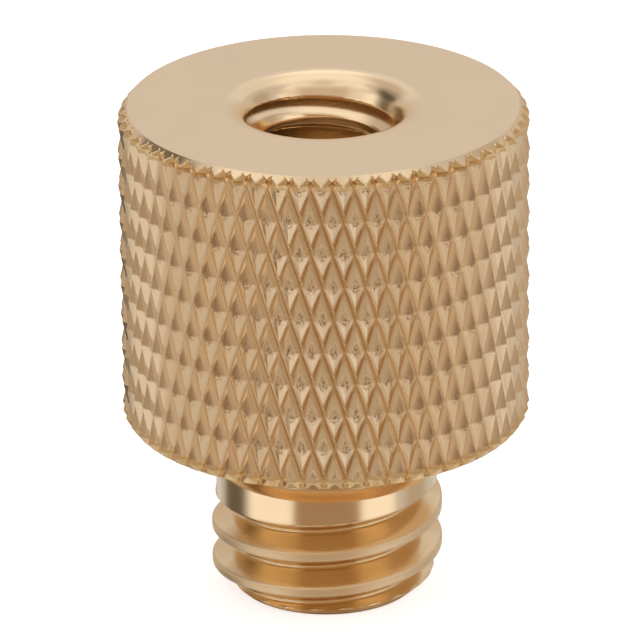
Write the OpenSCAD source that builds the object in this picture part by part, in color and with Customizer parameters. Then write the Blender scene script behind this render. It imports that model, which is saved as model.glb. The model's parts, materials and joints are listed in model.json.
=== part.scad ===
// Tripod thread adapter, turned from one brass bar and knurled for the fingers.
// The knurled body takes a 1/4 inch - 20 camera screw in its countersunk top,
// and the stud below it is 3/8 inch - 16, for a tripod head or a light stand.
// Frame: millimetres, +Z up, origin at the centre of the stud's flat end.
// Both threads stand here as plain walls at their working diameters.

/* [Body] */
// Diameter over the tips of the knurl
body_d = 16.7; // [14:0.1:22]
// Height of the knurled body
body_h = 13.4; // [8:0.1:20]
// Radial width of the chamfer round the top face
top_chamfer_w = 0.42; // [0.1:0.01:0.5]
// Height of the chamfer round the top face
top_chamfer_h = 0.42; // [0.1:0.01:0.6]
// Radial width of the chamfer round the shoulder
shoulder_chamfer_w = 0.25; // [0.1:0.01:0.5]
// Height of the chamfer round the shoulder
shoulder_chamfer_h = 0.36; // [0.1:0.01:0.6]

/* [Knurl] */
// Teeth round the body
knurl_teeth = 58; // [36:1:72]
// Height of one knurl diamond, along the axis
knurl_diamond_h = 2.785; // [1.5:0.01:4]
// Depth of the knurl grooves
knurl_depth = 0.31; // [0.1:0.01:0.45]
// Height above the shoulder of one row of the knurl's tips
knurl_tip_row = 7.28; // [6:0.01:8.5]
// Turn of the knurl round the axis, in degrees
knurl_turn = 2.3; // [0:0.1:6.2]

/* [Female thread] */
// Minor diameter of the 1/4 inch - 20 thread in the body
female_minor_d = 5.1; // [4.9:0.01:5.3]
// Depth of the drilled wall, from the top face to the drill cone
female_depth = 10.5; // [6:0.1:12]
// Included angle of the drill's point
drill_point_angle = 118; // [90:1:140]
// Diameter of the countersink at the top face
countersink_d = 6.9; // [6.4:0.1:9]
// Depth of the countersink
countersink_h = 1.55; // [0.6:0.05:2]

/* [Male thread] */
// Major diameter of the 3/8 inch - 16 thread
male_major_d = 9.525; // [9.3:0.005:9.6]
// Length of the stud, from the shoulder to its flat end
stud_l = 7.6; // [6.5:0.1:14]
// Diameter of the plain land above the thread
land_d = 9.1; // [8.6:0.05:9.3]
// Length of the plain land
land_l = 1.5; // [0.5:0.05:2]
// Diameter at the bottom of the relief groove under the shoulder
relief_d = 7.9; // [7:0.1:8.4]
// Length of the relief groove's straight bottom
relief_l = 2.05; // [1:0.05:2.5]
// Height of the slope between the relief groove and the land
relief_slope_h = 0.15; // [0.05:0.05:0.5]
// Diameter of the stud's flat end
stud_end_d = 7.4; // [6.6:0.1:8.4]
// Height of the chamfer at the stud's end
stud_chamfer_h = 0.95; // [0.5:0.05:1.4]

/* [Hidden] */
round_fn = 128;
shoulder_z = stud_l;
top_z = stud_l + body_h;
body_r = body_d / 2;
female_minor_r = female_minor_d / 2;
drill_floor_z = top_z - female_depth;
drill_point_h = female_minor_r / tan(drill_point_angle / 2);
relief_foot_z = shoulder_z - relief_l;
land_top_z = relief_foot_z - relief_slope_h;
thread_top_z = land_top_z - land_l;
// A cut runs this far past the face that it opens
overcut = 1;
// Two rows of groove crossings make one diamond
knurl_row_h = knurl_diamond_h / 2;
knurl_half_rows = ceil((max(knurl_tip_row, body_h - knurl_tip_row) + overcut) / knurl_row_h);
knurl_rows = 2 * knurl_half_rows;
knurl_mid_z = shoulder_z + knurl_tip_row;
// Groove crossings and diamond tips take turns round every row
knurl_sides = 2 * knurl_teeth;

// Point s of the knurl's row j: tips and crossings change places from row to row
function knurl_point(j, s) =
    let (
        r = (s + j) % 2 == 0 ? body_r : body_r - knurl_depth,
        a = knurl_turn + s * 360 / knurl_sides
    )
    [r * cos(a), r * sin(a), knurl_mid_z + (j - knurl_half_rows) * knurl_row_h];

function knurl_index(j, s) = j * knurl_sides + s % knurl_sides;

// Two triangles span each cell between rows, split along the groove that crosses it
function knurl_cell(j, s) =
    let (
        a = knurl_index(j, s),
        b = knurl_index(j, s + 1),
        c = knurl_index(j + 1, s + 1),
        d = knurl_index(j + 1, s)
    )
    (s + j) % 2 == 0 ? [[a, d, b], [b, d, c]] : [[a, d, c], [a, c, b]];

// Bar with the diamond knurl rolled all over it, longer than the body at both ends
module knurled_bar() {
    polyhedron(
        points = [for (j = [0:knurl_rows], s = [0:knurl_sides - 1]) knurl_point(j, s)],
        faces = concat(
            [for (j = [0:knurl_rows - 1], s = [0:knurl_sides - 1], t = knurl_cell(j, s)) t],
            [[for (s = [0:knurl_sides - 1]) knurl_index(0, s)]],
            [[for (s = [knurl_sides - 1:-1:0]) knurl_index(knurl_rows, s)]]
        )
    );
}

// Body's turned outline: a chamfer at the top face and at the shoulder. Its wall stands
// clear of the knurl's tips, so that only the chamfers and the two faces cut the knurl
module body_outline() {
    rotate_extrude($fn = round_fn)
        polygon([
            [0, shoulder_z],
            [body_r - shoulder_chamfer_w, shoulder_z],
            [body_r + overcut, shoulder_z + shoulder_chamfer_h * (1 + overcut / shoulder_chamfer_w)],
            [body_r + overcut, top_z - top_chamfer_h * (1 + overcut / top_chamfer_w)],
            [body_r - top_chamfer_w, top_z],
            [0, top_z]
        ]);
}

// Stud: relief groove, plain land, thread at its major diameter and end chamfer
module stud() {
    rotate_extrude($fn = round_fn)
        polygon([
            [0, 0],
            [stud_end_d / 2, 0],
            [male_major_d / 2, stud_chamfer_h],
            [male_major_d / 2, thread_top_z],
            [land_d / 2, thread_top_z],
            [land_d / 2, land_top_z],
            [relief_d / 2, relief_foot_z],
            [relief_d / 2, shoulder_z + overcut],
            [0, shoulder_z + overcut]
        ]);
}

// Blind hole for the camera screw: drill point, minor diameter and countersink
module female_hole() {
    translate([0, 0, drill_floor_z - drill_point_h])
        cylinder(h = drill_point_h, r1 = 0, r2 = female_minor_r, $fn = round_fn);
    translate([0, 0, drill_floor_z])
        cylinder(h = female_depth + overcut, r = female_minor_r, $fn = round_fn);
    translate([0, 0, top_z - countersink_h])
        cylinder(h = countersink_h, r1 = female_minor_r, r2 = countersink_d / 2, $fn = round_fn);
}

module thread_adapter() {
    color([0.80, 0.63, 0.40])
        difference() {
            union() {
                intersection() {
                    body_outline();
                    knurled_bar();
                }
                stud();
            }
            female_hole();
        }
}

thread_adapter();
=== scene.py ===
# %% [markdown]
# # A brass thread adapter for a tripod
# This small part joins a camera screw to a larger tripod thread. A lathe turns it from one brass bar: a knurled
# body for the fingers, a countersunk socket in its top face and a threaded stud below. Everything here is one
# closed surface, because the real part is one piece. It is drawn as a stack of rings, from the end of the stud up
# the outside, over the top face and down into the socket.

# %% Load the frame
import json
import math

import bpy
import numpy as np
from mathutils import Matrix, Vector


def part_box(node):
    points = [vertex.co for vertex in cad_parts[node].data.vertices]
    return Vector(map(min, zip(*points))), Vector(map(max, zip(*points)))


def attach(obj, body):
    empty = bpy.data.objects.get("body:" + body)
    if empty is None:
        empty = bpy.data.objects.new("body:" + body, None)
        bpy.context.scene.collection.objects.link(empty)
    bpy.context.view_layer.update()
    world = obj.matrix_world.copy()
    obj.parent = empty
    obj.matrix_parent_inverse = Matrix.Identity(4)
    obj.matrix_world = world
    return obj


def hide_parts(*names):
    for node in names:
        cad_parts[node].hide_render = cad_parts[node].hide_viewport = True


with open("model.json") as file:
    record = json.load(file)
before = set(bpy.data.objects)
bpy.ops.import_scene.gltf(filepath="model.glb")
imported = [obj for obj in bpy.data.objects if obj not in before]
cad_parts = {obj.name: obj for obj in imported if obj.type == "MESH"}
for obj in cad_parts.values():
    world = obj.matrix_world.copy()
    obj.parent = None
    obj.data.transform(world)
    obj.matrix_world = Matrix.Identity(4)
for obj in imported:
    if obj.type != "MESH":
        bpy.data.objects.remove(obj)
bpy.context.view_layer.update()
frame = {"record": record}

# %% [markdown]
# ## Sizes from the frame
# The CAD model already says how wide and tall the part is and where its threads start. The script reads those
# sizes and keeps them in millimetres, which suit a part of this size. Only the last step turns them into metres.

# %% Read the driving sizes
MM = 0.001
adapter_low, adapter_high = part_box("thread_adapter")
mounts = {mount["name"]: mount for mount in frame["record"]["mounts"]}

body_r = (adapter_high[0] - adapter_low[0]) / 2 / MM
top_z = adapter_high[2] / MM
shoulder_z = mounts["shoulder"]["pos_m"][2] / MM
male_major_r = mounts["male_thread"]["dims"]["r_mm"]
female_minor_r = mounts["female_thread"]["dims"]["r_mm"]
print(f"body radius {body_r:.3f} mm, shoulder at {shoulder_z:.2f} mm, top at {top_z:.2f} mm")

# %% [markdown]
# ## Rounded corners in a formula
# A cutter leaves no corner perfectly sharp. Where two shapes meet, `min` would give a sharp edge and
# `soft_min` gives a rounded one: it is the same function with a small bend of width k at the meeting point.


# %% Soft minimum and soft fold
def soft_min(a, b, k):
    """The smaller of a and b, less a quarter of k times the square of how far they overlap within k."""
    overlap = np.clip(1 - np.abs(a - b) / k, 0, 1)
    return np.minimum(a, b) - overlap**2 * k / 4


def soft_max(a, b, k):
    """The larger of a and b, rounded in the same way."""
    return -soft_min(-a, -b, k)


def fold(x, period):
    """Distance of x to the nearest multiple of period, with its sign."""
    return x - period * np.round(x / period)


# %% [markdown]
# ## The diamond knurl
# Two rolls press slanted grooves into the bar, one set leaning left and one leaning right. What is left between
# them are small pyramids. A point has two running counts: how many grooves of each set lie between it and the
# start. The larger distance from the middle of a groove pair gives the depth, so four flat facets meet at a tip.

# %% Knurl function
knurl_teeth = 58
knurl_diamond_h = 2.785
knurl_depth = 0.31
knurl_row_z = shoulder_z + 7.28
knurl_turn = math.radians(2.29)
groove_softness = 0.015
# Rise of the groove's wall and of the facet above it, both as shares of the depth from groove to tip
wall_rise = 1.5
facet_rise = 0.95


def knurl_counts(theta, z):
    """Diamonds round the body and along it, counted from one tip."""
    return (theta - knurl_turn) * knurl_teeth / (2 * math.pi), (z - knurl_row_z) / knurl_diamond_h


def knurl_height(theta, z):
    """Height above the groove's bottom: it grows with the distance to the nearest groove of either set, first
    up the groove's steep wall and then up a flatter facet to the tip. The valley is a hyperbola, so its bottom
    is round."""
    around, along = knurl_counts(theta, z)
    left = np.abs(fold(around + along, 1))
    right = np.abs(fold(around - along, 1))
    away = 1 - 2 * np.maximum(left, right)
    valley = np.sqrt(away**2 + (2 * groove_softness) ** 2) - 2 * groove_softness
    facet = 1 - facet_rise * (1 - away)
    return knurl_depth * soft_min(wall_rise * valley, facet, 0.04)


print(f"{knurl_teeth} teeth, each {2 * math.pi * body_r / knurl_teeth:.2f} mm wide and {knurl_diamond_h} mm tall")

# %% [markdown]
# ## The stud's thread
# The 3/8 inch stud has 16 turns to the inch. A thread is a ridge that climbs by one pitch in each turn, so its
# height at a point depends only on z less the climb so far. That value is folded into one pitch: a flat crest,
# two flanks at 60 degrees to each other and a rounded root.

# %% Male thread function
male_pitch = 25.4 / 16
male_depth = 0.95
male_crest_w = 0.34
male_crest_front_z = shoulder_z - 4.55
flank_slope = math.sqrt(3)
# The groove gets shallower over this stretch of its turning angle, where the die was backed off
fade_start, fade_end = math.radians(330), math.radians(480)


def male_thread_depth(theta, z):
    """Depth of cut below the major radius: distance to the crest's edge times the flank's slope, held to the
    root's depth, and faded out with the angle that the groove has turned through."""
    crest_z = male_crest_front_z - 0.75 * male_pitch + male_pitch * theta / (2 * math.pi)
    away = np.abs(fold(z - crest_z, male_pitch))
    depth = soft_max((away - male_crest_w / 2) * flank_slope, 0.0 * away, 0.10)
    turn = theta + 2 * math.pi * np.round((z - crest_z - male_pitch / 2) / male_pitch)
    left = 1 - np.clip((turn - fade_start) / (fade_end - fade_start), 0, 1)
    return np.maximum(soft_min(depth, male_depth + 0 * away, 0.10) - male_depth * (1 - left), 0)


# %% [markdown]
# ## The outline of the stud
# Above the thread the stud has a plain land and a relief groove that runs up to the shoulder. Without the relief,
# the last turn of the thread would keep the shoulder from seating. The stud's end has a 45 degree chamfer.

# %% Stud outline
stud_end_r = 3.7
stud_chamfer_h = 0.95
land_r = 4.55
relief_r = 3.95
relief_top_z = shoulder_z - 2.05
relief_slope_h = 0.15
land_top_z = relief_top_z - relief_slope_h
thread_top_z = land_top_z - 1.5


def stud_radius(theta, z):
    """Radius of the stud: end chamfer, major radius, land and relief, less the thread's cut."""
    chamfer = stud_end_r + (male_major_r - stud_end_r) * z / stud_chamfer_h
    blank = soft_min(chamfer, male_major_r + 0 * z, 0.10)
    blank = blank - (male_major_r - land_r) * np.clip((z - thread_top_z + 0.05) / 0.2, 0, 1)
    slope = np.clip((z - land_top_z) / relief_slope_h, 0, 1)
    blank = blank - (land_r - relief_r) * slope * slope * (3 - 2 * slope)
    cut = male_major_r - male_thread_depth(theta, z)
    return soft_min(blank, cut + np.where(z > land_top_z, 1.0, 0.0), 0.05)


# %% [markdown]
# ## The socket
# The camera screw's socket is a 1/4 inch thread with 20 turns to the inch, cut into a drilled hole with a steep
# countersink. The first turn starts inside the countersink, so the larger radius of the two wins.

# %% Socket function
female_pitch = 25.4 / 20
female_crest_w = 0.36
countersink_r = 3.45
countersink_slope = math.radians(60)
countersink_h = (countersink_r - female_minor_r) * math.tan(countersink_slope)
socket_floor_z = top_z - 10.5
drill_point_h = female_minor_r / math.tan(math.radians(59))
female_crest_back_z = top_z - 1.655
female_fade_z = top_z - 9.0


def socket_radius(theta, z):
    """Radius of the socket: the countersink's cone, or the thread's groove where that reaches further out."""
    cone = soft_max(countersink_r - (top_z - z) / math.tan(countersink_slope), female_minor_r + 0 * z, 0.10)
    crest_z = female_crest_back_z - female_pitch / 4 + female_pitch * theta / (2 * math.pi)
    away = np.abs(fold(z - crest_z, female_pitch))
    cut = soft_max((away - female_crest_w / 2) * flank_slope, 0 * away, 0.10)
    cut = cut * np.clip((z - female_fade_z) / 1.0, 0, 1)
    return soft_max(cone, female_minor_r + cut, 0.06)


# %% [markdown]
# ## Rings
# A ring is one closed loop of points at a height. A band is a stack of rings with the same number of points, and
# numpy works out a whole band in one call: angles run along one axis of the array and heights along the other.

# %% Ring and band helpers
bands = []
STUD_COLUMNS = 203
KNURL_STEPS = 12
KNURL_COLUMNS = knurl_teeth * KNURL_STEPS
HOLE_COLUMNS = 116


def angles(columns, turn=0.0):
    """Equal steps of angle round the axis, between minus half a turn and half a turn."""
    return turn - math.pi + 2 * math.pi * np.arange(columns) / columns


def add_band(name, theta, radius, height):
    """Keeps a stack of rings: rows by columns arrays of radius and height."""
    radius, height = np.broadcast_arrays(radius, height)
    bands.append({"name": name, "theta": theta, "r": radius.astype(float), "z": height.astype(float)})
    print(f"{name}: {radius.shape[0]} rings of {radius.shape[1]} points")


def rings(theta, pairs):
    """Plain rings from (radius, height) pairs."""
    pairs = np.array(pairs, float)
    ones = np.ones((1, len(theta)))
    return pairs[:, :1] * ones, pairs[:, 1:] * ones


# %% [markdown]
# ## Stud rings
# The thread needs close rings, one every 0.05 mm, because a screw's flanks are steep. The plain relief needs
# only a few.

# %% Build the stud
stud_theta = angles(STUD_COLUMNS)
end_r, end_z = rings(stud_theta, [(0.6, 0.0), (2.4, 0.0), (stud_end_r - 0.12, 0.0)])
add_band("stud end", stud_theta, end_r, end_z)

thread_z = np.concatenate([[0.015], np.arange(0.045, land_top_z - 0.02, 0.045)])[:, None]
add_band("stud thread", stud_theta, stud_radius(stud_theta[None], thread_z), thread_z)

slope_z = np.linspace(land_top_z, relief_top_z, 6)[:, None]
add_band("land edge", stud_theta, stud_radius(stud_theta[None], slope_z), slope_z)

fillet_r = 0.12
corner = np.linspace(0, math.pi / 2, 5)
fillet = [
    (relief_r + fillet_r * (1 - math.cos(a)), shoulder_z - fillet_r * (1 - math.sin(a))) for a in corner
]
relief_r_rows, relief_z_rows = rings(
    stud_theta, [(relief_r, relief_top_z + 0.3), (relief_r, relief_top_z + 1.1)] + fillet + [(6.0, shoulder_z), (7.8, shoulder_z)]
)
add_band("relief and shoulder", stud_theta, relief_r_rows, relief_z_rows)

# %% [markdown]
# ## Body rings
# The rings of the knurl stand on the pyramids' own lattice: six steps from a tip to the next row, so that every
# tip, ridge and groove lies exactly on the mesh. The chamfers at both ends cut through the pyramids and leave the
# row of small notches that runs round the top edge.

# %% Build the knurled body
top_chamfer_w, top_chamfer_h = 0.42, 0.42
shoulder_chamfer_w, shoulder_chamfer_h = 0.25, 0.36
# The knurl's last teeth are bent in a little where the top chamfer cuts them
rolled_edge_w, rolled_edge_h = 0.03, 0.25
knurl_theta = angles(KNURL_COLUMNS, knurl_turn)


def body_radius(theta, z):
    """The turned blank with its two chamfers, or the knurl where that lies deeper."""
    low_edge = body_r - shoulder_chamfer_w + shoulder_chamfer_w * (z - shoulder_z) / shoulder_chamfer_h
    high_edge = body_r - top_chamfer_w + top_chamfer_w * (top_z - z) / top_chamfer_h
    rolled = np.clip((z - (top_z - top_chamfer_h - rolled_edge_h)) / rolled_edge_h, 0, 1.2)
    knurled = body_r - knurl_depth + knurl_height(theta, z) - rolled_edge_w * rolled**2
    return np.minimum(np.minimum(low_edge, high_edge), knurled)


row_step = knurl_diamond_h / KNURL_STEPS
lattice = knurl_row_z + row_step * np.arange(-60, 60)
inside = (lattice > shoulder_z + shoulder_chamfer_h + 0.02) & (lattice < top_z - top_chamfer_h - 0.02)
body_z = np.concatenate(
    [
        shoulder_z + shoulder_chamfer_h * np.linspace(0, 1, 8),
        lattice[inside],
        top_z - top_chamfer_h * np.linspace(1, 0, 9),
    ]
)[:, None]
add_band("knurled body", knurl_theta, body_radius(knurl_theta[None], body_z), body_z)

# %% [markdown]
# ## Top face and socket rings
# A round lip leads from the flat face into the countersink. It is an arc that touches both, and it gives the
# broad soft highlight round the mouth.

# %% Build the top face and the socket
hole_theta = angles(HOLE_COLUMNS)
lip_r = 1.1
lip_start_r = countersink_r + lip_r * math.tan(countersink_slope / 2)
face_r, face_z = rings(hole_theta, [(r, top_z) for r in (7.75, 6.6, 5.4, 4.4, lip_start_r + 0.04)])
add_band("top face", hole_theta, face_r, face_z)

lip_turn = np.linspace(0, countersink_slope, 13)
lip_pairs = np.stack([lip_start_r - lip_r * np.sin(lip_turn), top_z - lip_r * (1 - np.cos(lip_turn))], -1)
lip_rows, lip_z = rings(hole_theta, lip_pairs)
add_band("socket lip", hole_theta, lip_rows, lip_z)

deep_z = np.concatenate(
    [
        np.arange(lip_pairs[-1, 1] - 0.03, top_z - 2.5, -0.0225),
        np.arange(top_z - 2.5, top_z - 4.0, -0.05),
        np.arange(top_z - 4.0, socket_floor_z, -0.15),
        [socket_floor_z],
    ]
)[:, None]
add_band("socket thread", hole_theta, socket_radius(hole_theta[None], deep_z), deep_z)

point = np.array([0.66, 0.33, 0.1])
cone_r, cone_z = rings(hole_theta, [(female_minor_r * p, socket_floor_z - drill_point_h * (1 - p)) for p in point])
add_band("drill point", hole_theta, cone_r, cone_z)

# %% [markdown]
# ## One closed mesh
# Rings with the same number of points are joined by quads. Where the number changes, on the flat shoulder and on
# the flat top face, a belt of triangles joins them: each step on one ring reaches to the nearest point of the other.


# %% Faces between rings
def quad_belt(first, rows, columns):
    """Quads of a rows by columns grid of points that closes round the axis."""
    i = np.arange(rows - 1)[:, None] * columns
    j = np.arange(columns)[None]
    k = (np.arange(columns)[None] + 1) % columns
    quads = np.stack([i + j, i + k, i + columns + k, i + columns + j], -1)
    return first + quads.reshape(-1, 4)


def triangle_belt(a, na, b, nb):
    """Triangles between a ring of na points from index a and a ring of nb points from index b. Each ring's steps
    are ordered by the angle of their middle, and a step on one ring meets the point that the other has reached."""
    i = np.arange(na)
    reached_b = -((na - (2 * i + 1) * nb) // (2 * na))
    from_a = np.stack([a + i, a + (i + 1) % na, b + reached_b % nb], -1)
    j = np.arange(nb)
    reached_a = ((2 * j + 1) * na - nb) // (2 * nb) + 1
    from_b = np.stack([a + reached_a % na, b + (j + 1) % nb, b + j], -1)
    return np.concatenate([from_a, from_b])


def split_on_grooves(quads, rows, columns, row_count, column_count):
    """Cuts the knurl's quads into triangles along the diagonal that the groove follows in that part of a diamond."""
    half = KNURL_STEPS // 2
    leaning = (np.floor(row_count / half) + np.floor(column_count / half)) % 2 == 0
    a, b, c, d = quads.T
    back = np.concatenate([np.stack([a, b, d], -1)[leaning], np.stack([b, c, d], -1)[leaning]])
    forth = np.concatenate([np.stack([a, b, c], -1)[~leaning], np.stack([a, c, d], -1)[~leaning]])
    return np.concatenate([back, forth])


# %% Join the bands
points, quads, triangles, starts = [], [], [], []
count = 0
for band in bands:
    theta, r, z = band["theta"][None], band["r"], band["z"]
    points.append(np.stack([r * np.cos(theta), r * np.sin(theta), z], -1).reshape(-1, 3))
    starts.append(count)
    count += r.size

for band, start in zip(bands, starts):
    rows, columns = band["r"].shape
    belt = quad_belt(start, rows, columns)
    if band["name"] == "knurled body":
        middle = (band["z"][:-1, 0] + band["z"][1:, 0]) / 2
        row_count = np.repeat(np.floor((middle - knurl_row_z) / row_step), columns)
        column_count = np.tile(np.arange(columns) - columns / 2, rows - 1)
        triangles.append(split_on_grooves(belt, rows, columns, row_count, column_count))
    else:
        quads.append(belt)

for (low_band, low_start), (high_band, high_start) in zip(zip(bands, starts), zip(bands[1:], starts[1:])):
    rows, columns = low_band["r"].shape
    ring = low_start + (rows - 1) * columns
    across = high_band["r"].shape[1]
    triangles.append(triangle_belt(ring, columns, high_start, across))

first_pole, last_pole = count, count + 1
points.append(np.array([[0, 0, 0], [0, 0, socket_floor_z - drill_point_h]]))
j = np.arange(STUD_COLUMNS)
triangles.append(np.stack([np.full(STUD_COLUMNS, first_pole), (j + 1) % STUD_COLUMNS, j], -1))
last_ring = starts[-1] + bands[-1]["r"].size - HOLE_COLUMNS
j = np.arange(HOLE_COLUMNS)
triangles.append(np.stack([last_ring + j, last_ring + (j + 1) % HOLE_COLUMNS, np.full(HOLE_COLUMNS, last_pole)], -1))

points = np.concatenate(points)
quads = np.concatenate(quads)
triangles = np.concatenate(triangles)
print(f"{len(points)} points, {2 * len(quads) + len(triangles)} triangles")

# %% [markdown]
# ## Into Blender
# `foreach_set` copies whole arrays into the mesh, which is far quicker than adding faces one by one.

# %% Make the mesh object
mesh = bpy.data.meshes.new("thread_adapter_brass")
mesh.vertices.add(len(points))
mesh.vertices.foreach_set("co", (points * MM).astype(np.float32).ravel())
corners = np.concatenate([quads.ravel(), triangles.ravel()])
sizes = np.concatenate([np.full(len(quads), 4), np.full(len(triangles), 3)])
mesh.loops.add(len(corners))
mesh.loops.foreach_set("vertex_index", corners.astype(np.int32))
mesh.polygons.add(len(sizes))
mesh.polygons.foreach_set("loop_start", np.concatenate([[0], np.cumsum(sizes)[:-1]]).astype(np.int32))
mesh.update(calc_edges=True)
mesh.validate()
mesh.shade_smooth()

adapter = bpy.data.objects.new("adapter_body", mesh)
bpy.context.scene.collection.objects.link(adapter)
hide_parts("thread_adapter")
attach(adapter, "root")

# %% [markdown]
# ## Crisp ridges, smooth flanks
# Smooth shading blends the light across every edge, which suits the threads. The pyramids need crisp ridges, so
# edges in the knurl that bend by more than a few degrees are marked sharp, and elsewhere only real corners are.

# %% Mark the sharp edges
knurl_index = [band["name"] for band in bands].index("knurled body")
knurl_start = starts[knurl_index]
knurl_end = knurl_start + bands[knurl_index]["r"].size

normals = np.empty(3 * len(mesh.polygons))
mesh.polygons.foreach_get("normal", normals)
normals = normals.reshape(-1, 3)
loop_edges = np.empty(len(mesh.loops), np.int32)
mesh.loops.foreach_get("edge_index", loop_edges)
face_of_loop = np.repeat(np.arange(len(sizes)), sizes)
order = np.argsort(loop_edges, kind="stable")
pairs = face_of_loop[order].reshape(-1, 2)
bend = np.degrees(np.arccos(np.clip((normals[pairs[:, 0]] * normals[pairs[:, 1]]).sum(-1), -1, 1)))

edge_points = np.empty(2 * len(mesh.edges), np.int32)
mesh.edges.foreach_get("vertices", edge_points)
edge_points = edge_points.reshape(-1, 2)
in_knurl = ((edge_points >= knurl_start) & (edge_points < knurl_end)).all(-1)
sharp = np.where(in_knurl, bend > 8, bend > 40)
sharp_edges = mesh.attributes.new("sharp_edge", "BOOLEAN", "EDGE")
sharp_edges.data.foreach_set("value", sharp)
print(f"{int(sharp.sum())} sharp edges of {len(sharp)}")

# %% [markdown]
# ## Marks for the finish and for painted shade
# The brass looks different in each zone. Three numbers at each point tell the material where it is and how dark to
# paint it: the knurl, the worn crests of the thread, and the shade painted into the thread's groove, onto the
# shoulder chamfer and into the notches of the top edge. The two counts of the knurl come as a map.

# %% Zones and knurl map
zone = np.zeros(len(points))
knurl_rows = (body_z[:, 0] > shoulder_z + shoulder_chamfer_h) & (body_z[:, 0] < top_z - top_chamfer_h)
zone[knurl_start:knurl_end] = np.repeat(knurl_rows, KNURL_COLUMNS)
zone_mark = mesh.attributes.new("knurl_zone", "FLOAT", "POINT")
zone_mark.data.foreach_set("value", zone.astype(np.float32))

thread_index = [band["name"] for band in bands].index("stud thread")
thread_start, thread_size = starts[thread_index], bands[thread_index]["r"].size
worn = np.zeros(len(points))
cut_depth = male_thread_depth(stud_theta[None], thread_z) + 0 * bands[thread_index]["r"]
worn[thread_start : thread_start + thread_size] = (np.clip(1.5 - cut_depth / 0.08, 0, 1) * (thread_z < thread_top_z)).ravel()
worn_mark = mesh.attributes.new("worn_crest", "FLOAT", "POINT")
worn_mark.data.foreach_set("value", worn.astype(np.float32))
# Painted shade: the colour is darkened deep in the stud's thread groove, more on the down-facing flank than on the
# up-facing one, all round the shoulder chamfer, and in the notches where the top chamfer cuts the knurl.
painted_shade_amount = np.zeros(len(points))
thread_height = fold(thread_z - male_crest_front_z + 0.75 * male_pitch - male_pitch * stud_theta[None] / (2 * math.pi), male_pitch)
painted_shade_amount[thread_start : thread_start + thread_size] = (np.clip(cut_depth / 0.3, 0, 1) * np.where(thread_height > 0, 0.4, 1.0)).ravel()
painted_shade_amount[knurl_start:knurl_end] = np.repeat(body_z[:, 0] < shoulder_z + shoulder_chamfer_h + 0.05, KNURL_COLUMNS) * 0.9
high_edge = body_r - top_chamfer_w + top_chamfer_w * (top_z - body_z) / top_chamfer_h
notch = np.clip((high_edge - bands[knurl_index]["r"]) / 0.06, 0, 1) * (body_z > top_z - top_chamfer_h - 0.02)
painted_shade_amount[knurl_start:knurl_end] += 0.85 * notch.ravel()
painted_shade_attribute = mesh.attributes.new("painted_shade_mark", "FLOAT", "POINT")
painted_shade_attribute.data.foreach_set("value", painted_shade_amount.astype(np.float32))

point_theta = np.arctan2(points[:, 1], points[:, 0])
point_r = np.hypot(points[:, 0], points[:, 1])
around, along = knurl_counts(point_theta, points[:, 2])
corner_around = around[corners]
first_corner = np.repeat(corner_around[np.concatenate([[0], np.cumsum(sizes)[:-1]])], sizes)
corner_around = first_corner + fold(corner_around - first_corner, knurl_teeth)
knurl_map = mesh.uv_layers.new(name="knurl_map")
knurl_map.data.foreach_set("uv", np.stack([corner_around, along[corners]], -1).astype(np.float32).ravel())

# %% [markdown]
# ## Brass
# Polished brass is a metal whose reflection is tinted: one bounce of white light comes back pale gold, and light that
# bounces twice in a groove comes back deep gold. So the material needs little colour of its own beyond that. On top
# of it, shade is painted into the colour: in the stud's thread groove, on the shoulder chamfer, in the notches of the
# top edge and on the upper facet near each pyramid's tip.

# %% Brass material
brass = bpy.data.materials.new("turned_brass")
brass.use_nodes = True
nodes, links = brass.node_tree.nodes, brass.node_tree.links
nodes.clear()


def node(kind, name, **values):
    """Adds a node, sets its properties and returns it."""
    made = nodes.new(kind)
    made.name = made.label = name
    for key, value in values.items():
        setattr(made, key, value)
    return made


def join(source, target, socket_from=0, socket_to=0):
    """Links an output socket to an input socket."""
    links.new(source.outputs[socket_from], target.inputs[socket_to])


def maths(operation, name, a, b=None, c=None, clamp=False):
    """A Math node whose inputs are nodes or numbers."""
    made = node("ShaderNodeMath", name, operation=operation, use_clamp=clamp)
    for index, value in enumerate((a, b, c)):
        if value is None:
            continue
        if isinstance(value, (int, float)):
            made.inputs[index].default_value = value
        else:
            socket = value if isinstance(value, bpy.types.NodeSocket) else value.outputs[0]
            links.new(socket, made.inputs[index])
    return made


surface = node("ShaderNodeBsdfPrincipled", "brass")
output = node("ShaderNodeOutputMaterial", "output")
join(surface, output)
surface.inputs["Metallic"].default_value = 1.0

coords = node("ShaderNodeTexCoord", "place")
knurl_here = node("ShaderNodeAttribute", "knurl zone", attribute_name="knurl_zone")
lattice_map = node("ShaderNodeUVMap", "knurl map", uv_map="knurl_map")
split = node("ShaderNodeSeparateXYZ", "around and along")
join(lattice_map, split)

count_left = maths("ADD", "count left", split.outputs["X"], split.outputs["Y"])
count_right = maths("SUBTRACT", "count right", split.outputs["X"], split.outputs["Y"])


def to_tip(count, name):
    """Signed distance from the nearest tip in one count: from minus half to half."""
    shifted = maths("ADD", name + " shift", count, 0.5)
    part = maths("FRACT", name + " part", shifted)
    return maths("SUBTRACT", name, part, 0.5)


left_tip = to_tip(count_left, "left from tip")
right_tip = to_tip(count_right, "right from tip")
left_away = maths("SUBTRACT", "left away", 0.5, maths("ABSOLUTE", "left size", left_tip))
right_away = maths("SUBTRACT", "right away", 0.5, maths("ABSOLUTE", "right size", right_tip))
groove_away = maths("MINIMUM", "away from grooves", left_away, right_away)
above_tip = maths("SUBTRACT", "above the tip", left_tip, right_tip)



def fall(name, source, low, high):
    """A smooth fall from 1 at low to 0 at high."""
    made = node("ShaderNodeMapRange", name, clamp=True, interpolation_type="SMOOTHSTEP")
    made.inputs["From Min"].default_value = low
    made.inputs["From Max"].default_value = high
    made.inputs["To Min"].default_value = 1.0
    made.inputs["To Max"].default_value = 0.0
    join(source, made)
    return made


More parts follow.
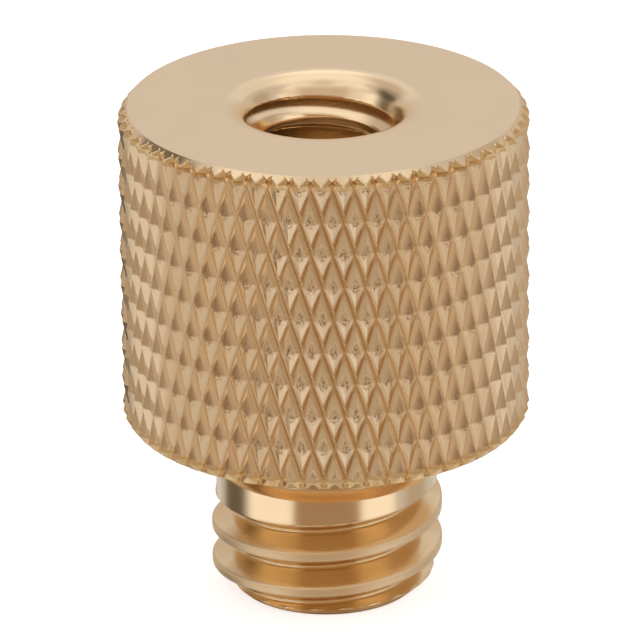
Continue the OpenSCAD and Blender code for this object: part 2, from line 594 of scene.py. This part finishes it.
thin_line = fall("thin groove line", left_away, 0.015, 0.085)
wide_line = fall("wide groove line", right_away, 0.05, 0.15)
line = maths("MAXIMUM", "groove line", thin_line, wide_line)
line_here = maths("MULTIPLY", "groove line on the knurl", line, knurl_here.outputs["Fac"])

speck_noise = node("ShaderNodeTexNoise", "pits")
speck_noise.inputs["Scale"].default_value = 8500.0
speck_noise.inputs["Roughness"].default_value = 0.7
speck_noise.inputs["Detail"].default_value = 3.0
join(coords, speck_noise, "Object", "Vector")

patch_noise = node("ShaderNodeTexNoise", "patches")
patch_noise.inputs["Scale"].default_value = 420.0
patch_noise.inputs["Detail"].default_value = 2.0
join(coords, patch_noise, "Object", "Vector")

above_size = maths("ABSOLUTE", "from the pitted place", maths("SUBTRACT", "above the tip shift", above_tip, 0.12))
high_here = fall("height of the pitted place", above_size, 0.10, 0.34)
tip_here = fall("near the tip", maths("SUBTRACT", "from the tip", 0.5, groove_away), 0.10, 0.34)
place = node("ShaderNodeSeparateXYZ", "place on the body")
join(coords, place, "Object", "Vector")
handled = fall("handled side", maths("ABSOLUTE", "off the middle", place.outputs["X"]), 0.0048, 0.0078)
rough_tip = maths("MULTIPLY", "rough tip", maths("MULTIPLY", "tip on the knurl", tip_here, knurl_here.outputs["Fac"]), high_here)
rough_tip = maths("MULTIPLY", "rough tip in front", rough_tip, handled)

brass_colour = node("ShaderNodeMix", "brass colour", data_type="RGBA")
brass_colour.inputs["A"].default_value = (0.90, 0.68, 0.43, 1)
brass_colour.inputs["B"].default_value = (0.82, 0.63, 0.41, 1)
links.new(line_here.outputs[0], brass_colour.inputs["Factor"])
# This dark colour serves both the real stain in the pits and the painted shade on the upper facets near the tips.
pit_stain_and_painted_shade = node("ShaderNodeMix", "stained colour", data_type="RGBA")
pit_stain_and_painted_shade.inputs["B"].default_value = (0.40, 0.25, 0.14, 1)
links.new(brass_colour.outputs["Result"], pit_stain_and_painted_shade.inputs["A"])
# Painted shade: the base colour moves toward a deep dull gold in the thread's groove, on the shoulder chamfer and in
# the notches of the top edge.
painted_shade_mark = node("ShaderNodeAttribute", "painted shade mark", attribute_name="painted_shade_mark")
painted_shade_colour = node("ShaderNodeMix", "painted shade colour", data_type="RGBA")
painted_shade_colour.inputs["B"].default_value = (0.74, 0.50, 0.24, 1)
links.new(painted_shade_mark.outputs["Fac"], painted_shade_colour.inputs["Factor"])
links.new(pit_stain_and_painted_shade.outputs["Result"], painted_shade_colour.inputs["A"])
links.new(painted_shade_colour.outputs["Result"], surface.inputs["Base Color"])

rough = node("ShaderNodeMapRange", "roughness", clamp=True)
rough.inputs["To Min"].default_value = 0.15
rough.inputs["To Max"].default_value = 0.27
join(patch_noise, rough)
crest_here = node("ShaderNodeAttribute", "worn crest", attribute_name="worn_crest")
crest_rough = maths("MULTIPLY_ADD", "rougher crest", crest_here.outputs["Fac"], 0.25, rough)
join(crest_rough, surface, 0, surface.inputs.find("Roughness"))

pit_shape = node("ShaderNodeMapRange", "pit shape", clamp=True, interpolation_type="SMOOTHSTEP")
pit_shape.inputs["From Min"].default_value = 0.39
pit_shape.inputs["From Max"].default_value = 0.53
pit_shape.inputs["To Min"].default_value = -1.0
pit_shape.inputs["To Max"].default_value = 0.0
join(speck_noise, pit_shape)
pit_height = maths("MULTIPLY", "pit height", pit_shape, rough_tip)
pit_stain = maths("MULTIPLY", "stain in the pits", pit_height, -1.0, clamp=True)
# Painted shade: the upper facet of each pyramid is darkened near its tip and broken by fine hatch lines. It is weak
# where X is near zero, strongest 4 to 6 mm from it, and weaker again towards 8 mm.
above_only = fall("above the tip only", maths("MULTIPLY", "below the tip", above_tip, -1.0), -0.06, 0.0)
near_tip = fall("round the tip", maths("SUBTRACT", "from the tip again", 0.5, groove_away), 0.12, 0.46)
hatch = maths("MULTIPLY_ADD", "hatch", maths("SINE", "hatch wave", maths("MULTIPLY", "hatch lines", split.outputs["Y"], 240.0)), 0.14, 0.80)
shade = maths("MULTIPLY", "shade above the tip", maths("MULTIPLY", "shade shape", near_tip, above_only), hatch)
middle = fall("middle of the side", maths("ABSOLUTE", "off the middle again", place.outputs["X"]), 0.0012, 0.0042)
shade_share = maths("MULTIPLY_ADD", "less shade in the middle", middle, -0.80, 1.0)
sides = fall("side of the body", maths("ABSOLUTE", "off the middle once more", place.outputs["X"]), 0.0060, 0.0080)
shade_share = maths("MULTIPLY", "less shade at the edge", shade_share, maths("MULTIPLY_ADD", "edge share", sides, 0.65, 0.35))
shade_here = maths("MULTIPLY", "shade on the knurl", maths("MULTIPLY", "shared shade", shade, shade_share), knurl_here.outputs["Fac"])
# The darker of pit stain and painted shade sets how far the colour moves toward the dark colour.
links.new(maths("MAXIMUM", "stain", pit_stain, shade_here).outputs[0], pit_stain_and_painted_shade.inputs["Factor"])


def lip(away, name, place, width):
    """A narrow ridge beside a groove: one less the squared distance from its middle, in ridge widths."""
    offset = maths("SUBTRACT", name + " offset", away, place)
    scaled = maths("DIVIDE", name + " scaled", offset, width)
    squared = maths("MULTIPLY", name + " squared", scaled, scaled)
    return maths("SUBTRACT", name, 1.0, squared, clamp=True)


lips = maths("MAXIMUM", "lips", lip(left_away, "near lip", 0.10, 0.028), lip(left_away, "far lip", 0.17, 0.022))
lips_here = maths("MULTIPLY", "lips on the knurl", lips, knurl_here.outputs["Fac"])
lip_noise = maths("MULTIPLY", "broken lips", lips_here, patch_noise.outputs["Fac"])
relief = maths("MULTIPLY_ADD", "pits and lips", lip_noise, 0.45, maths("MULTIPLY", "shallow pits", pit_height, 0.60))
bump = node("ShaderNodeBump", "worked surface")
bump.inputs["Strength"].default_value = 1.0
bump.inputs["Distance"].default_value = 0.00004
join(relief, bump, 0, bump.inputs.find("Height"))
join(bump, surface, 0, surface.inputs.find("Normal"))
mesh.materials.append(brass)

# %% [markdown]
# ## Floor
# The part stands on a plain white floor. The camera sees the floor a little brighter than the lamps alone make it, so
# the background reads white while the part's soft shadow stays. The metal sees the floor mostly as a polished sheet.

# %% Floor
floor_size = 2.0
floor_mesh = bpy.data.meshes.new("floor")
floor_mesh.from_pydata(
    [(-floor_size, -floor_size, 0), (floor_size, -floor_size, 0), (floor_size, floor_size, 0), (-floor_size, floor_size, 0)],
    [],
    [(0, 1, 2, 3)],
)
floor = bpy.data.objects.new("floor", floor_mesh)
bpy.context.scene.collection.objects.link(floor)

paper = bpy.data.materials.new("white_paper")
paper.use_nodes = True
nodes, links = paper.node_tree.nodes, paper.node_tree.links
nodes.clear()
paper_out = node("ShaderNodeOutputMaterial", "output")
paper_add = node("ShaderNodeAddShader", "paper and glow")
paper_mix = node("ShaderNodeMixShader", "paper or polish")
paper_face = node("ShaderNodeBsdfDiffuse", "paper")
paper_face.inputs["Color"].default_value = (0.86, 0.86, 0.86, 1)
paper_glow = node("ShaderNodeEmission", "glow")
polish = node("ShaderNodeBsdfGlossy", "polish")
polish.inputs["Color"].default_value = (0.95, 0.95, 0.95, 1)
polish.inputs["Roughness"].default_value = 0.06
path = node("ShaderNodeLightPath", "path")
glow_strength = maths("MULTIPLY", "glow for the camera", path.outputs["Is Camera Ray"], 0.68)
links.new(glow_strength.outputs[0], paper_glow.inputs["Strength"])
join(paper_face, paper_add, 0, 0)
join(paper_glow, paper_add, 0, 1)
polish_share = maths("MULTIPLY", "polish in the metal", path.outputs["Is Glossy Ray"], 0.95)
links.new(polish_share.outputs[0], paper_mix.inputs["Fac"])
join(paper_add, paper_mix, 0, 1)
join(polish, paper_mix, 0, 2)
join(paper_mix, paper_out)
floor_mesh.materials.append(paper)

# %% [markdown]
# ## Light
# Metal shows what stands round it more than it shows lamps. The studio here is a dome that is dim at the height of
# the horizon in front and bright behind and overhead, with one large soft lamp above for the shadow.

# %% World dome
world = bpy.data.worlds.new("studio")
bpy.context.scene.world = world
world.use_nodes = True
nodes, links = world.node_tree.nodes, world.node_tree.links
nodes.clear()
world_out = node("ShaderNodeOutputWorld", "output")
dome = node("ShaderNodeBackground", "dome")
direction = node("ShaderNodeTexCoord", "direction")
axes = node("ShaderNodeSeparateXYZ", "axes")
join(direction, axes, "Generated", "Vector")


def colour_by_height(name, stops):
    """A ramp over the direction's height, from the horizon at 0 to straight up at 1: (height, red, green, blue)."""
    made = node("ShaderNodeValToRGB", name)
    elements = made.color_ramp.elements
    elements[0].position, elements[1].position = stops[0][0], stops[-1][0]
    for stop in stops[1:-1]:
        elements.new(stop[0])
    for element, (position, *colour) in zip(elements, stops):
        element.position = position
        element.color = (*colour, 1)
    links.new(axes.outputs["Z"], made.inputs["Fac"])
    return made


def smooth_step(name, source, low, high):
    """A smooth rise from 0 at low to 1 at high."""
    made = node("ShaderNodeMapRange", name, clamp=True, interpolation_type="SMOOTHSTEP")
    made.inputs["From Min"].default_value = low
    made.inputs["From Max"].default_value = high
    links.new(source.outputs[0], made.inputs["Value"])
    return made


def patch(name, aim, wide, narrow):
    """How far a direction is inside a round patch about aim: 0 outside angle wide, 1 within angle narrow."""
    x, y, z = Vector(aim).normalized()
    along_x = maths("MULTIPLY", name + " x", axes.outputs["X"], x)
    along_y = maths("MULTIPLY_ADD", name + " y", axes.outputs["Y"], y, along_x)
    along_z = maths("MULTIPLY_ADD", name + " z", axes.outputs["Z"], z, along_y)
    return smooth_step(name, along_z, math.cos(math.radians(wide)), math.cos(math.radians(narrow)))


def mix_in(name, factor, under, over):
    """Mixes a colour or a node's colour over another by a factor node."""
    made = node("ShaderNodeMix", name, data_type="RGBA")
    links.new(factor.outputs[0], made.inputs["Factor"])
    for key, value in (("A", under), ("B", over)):
        if isinstance(value, tuple):
            made.inputs[key].default_value = value
        else:
            links.new(value, made.inputs[key])
    return made.outputs["Result"]


behind = [
    (0.00, 0.62, 0.53, 0.44),
    (0.20, 0.69, 0.62, 0.55),
    (0.37, 0.66, 0.67, 0.71),
    (0.60, 0.62, 0.62, 0.65),
    (0.80, 0.64, 0.64, 0.66),
    (0.93, 0.90, 0.90, 0.90),
    (1.00, 0.88, 0.88, 0.88),
]
beside = [
    (0.00, 0.50, 0.42, 0.33),
    (0.22, 0.53, 0.47, 0.40),
    (0.36, 1.30, 1.30, 1.30),
    (0.45, 1.30, 1.30, 1.30),
    (0.54, 0.72, 0.70, 0.68),
    (0.66, 0.88, 0.87, 0.86),
    (0.80, 1.16, 1.16, 1.16),
    (1.00, 0.88, 0.88, 0.88),
]
ahead = [
    (0.00, 0.66, 0.56, 0.44),
    (0.18, 0.58, 0.46, 0.34),
    (0.32, 0.35, 0.21, 0.10),
    (0.47, 0.37, 0.23, 0.12),
    (0.58, 0.64, 0.58, 0.52),
    (0.70, 0.68, 0.62, 0.56),
    (0.84, 1.00, 1.00, 1.00),
    (1.00, 0.88, 0.88, 0.88),
]
back_height = colour_by_height("behind", behind)
side_height = colour_by_height("beside", beside)
front_height = colour_by_height("ahead", ahead)
forward = maths("MULTIPLY_ADD", "forward", axes.outputs["X"], -0.11, maths("MULTIPLY", "minus y", axes.outputs["Y"], -1.0))
sideways = maths("ABSOLUTE", "sideways", axes.outputs["X"])
in_front = smooth_step("in front", forward, 0.08, 0.18)
central = maths("MULTIPLY", "straight ahead", maths("SUBTRACT", "not sideways", 1.0, smooth_step("side", sideways, 0.48, 0.57)), in_front)
sky = mix_in("sky", in_front, back_height.outputs["Color"], side_height.outputs["Color"])
sky = mix_in("sky ahead", central, sky, front_height.outputs["Color"])
sky = mix_in("dark stand", patch("left patch", (-0.80, 0.34, 0.47), 20, 13), sky, (0.09, 0.07, 0.045, 1))
sky = mix_in("dim corner", patch("corner patch", (-0.511, 0.538, 0.675), 22, 9), sky, (0.42, 0.37, 0.34, 1))
sky = mix_in("dim above", patch("above patch", (0.0, -0.42, 0.91), 15, 8), sky, (0.74, 0.72, 0.70, 1))
sky = mix_in("back light", patch("light patch", (0.0, 0.62, 0.785), 13, 6), sky, (1.10, 1.10, 1.10, 1))
sky = mix_in("grey stand", patch("right patch", (0.869, 0.282, 0.407), 19, 10), sky, (0.52, 0.46, 0.40, 1))
links.new(sky, dome.inputs["Color"])
join(dome, world_out)


# %% Soft lamp
def soft_lamp(name, place, aim, width, height, power):
    """A rectangular lamp at place that points at aim, in metres and watts."""
    data = bpy.data.lights.new(name, "AREA")
    data.shape = "RECTANGLE"
    data.size, data.size_y = width, height
    data.energy = power
    lamp = bpy.data.objects.new(name, data)
    lamp.location = place
    lamp.rotation_euler = (Vector(aim) - Vector(place)).to_track_quat("-Z", "Y").to_euler()
    bpy.context.scene.collection.objects.link(lamp)
    return lamp


centre = (0, 0, 0.010)
soft_lamp("key_lamp", (0.0, 0.28, 0.50), centre, 0.8, 0.8, 0.35)

# %% [markdown]
# ## Camera
# The photo looks down at about 22 degrees from the front. A long lens from 0.3 m keeps the flanks of the part
# nearly parallel, as a catalogue photo does. The camera is rolled by half a degree.

# %% Camera
camera_data = bpy.data.cameras.new("camera")
camera_data.lens = 420.875
camera_data.sensor_width = 36.0
camera_data.clip_start = 0.01
camera_data.clip_end = 10.0
camera = bpy.data.objects.new("camera", camera_data)
camera_place = Vector((0.0, -281.804, 129.837)) * MM
camera_aim = Vector((-0.216, -0.964, 11.950)) * MM
camera_roll = math.radians(-0.5202)
forward = (camera_aim - camera_place).normalized()
right = forward.cross(Vector((0, 0, 1))).normalized()
upward = right.cross(forward)
rolled_up = upward * math.cos(camera_roll) - right * math.sin(camera_roll)
rolled_right = forward.cross(rolled_up)
camera.matrix_world = Matrix.Translation(camera_place) @ Matrix(
    (
        (rolled_right.x, rolled_up.x, -forward.x),
        (rolled_right.y, rolled_up.y, -forward.y),
        (rolled_right.z, rolled_up.z, -forward.z),
    )
).to_4x4()
bpy.context.scene.collection.objects.link(camera)
bpy.context.scene.camera = camera
bpy.context.scene.view_settings.view_transform = "Standard"
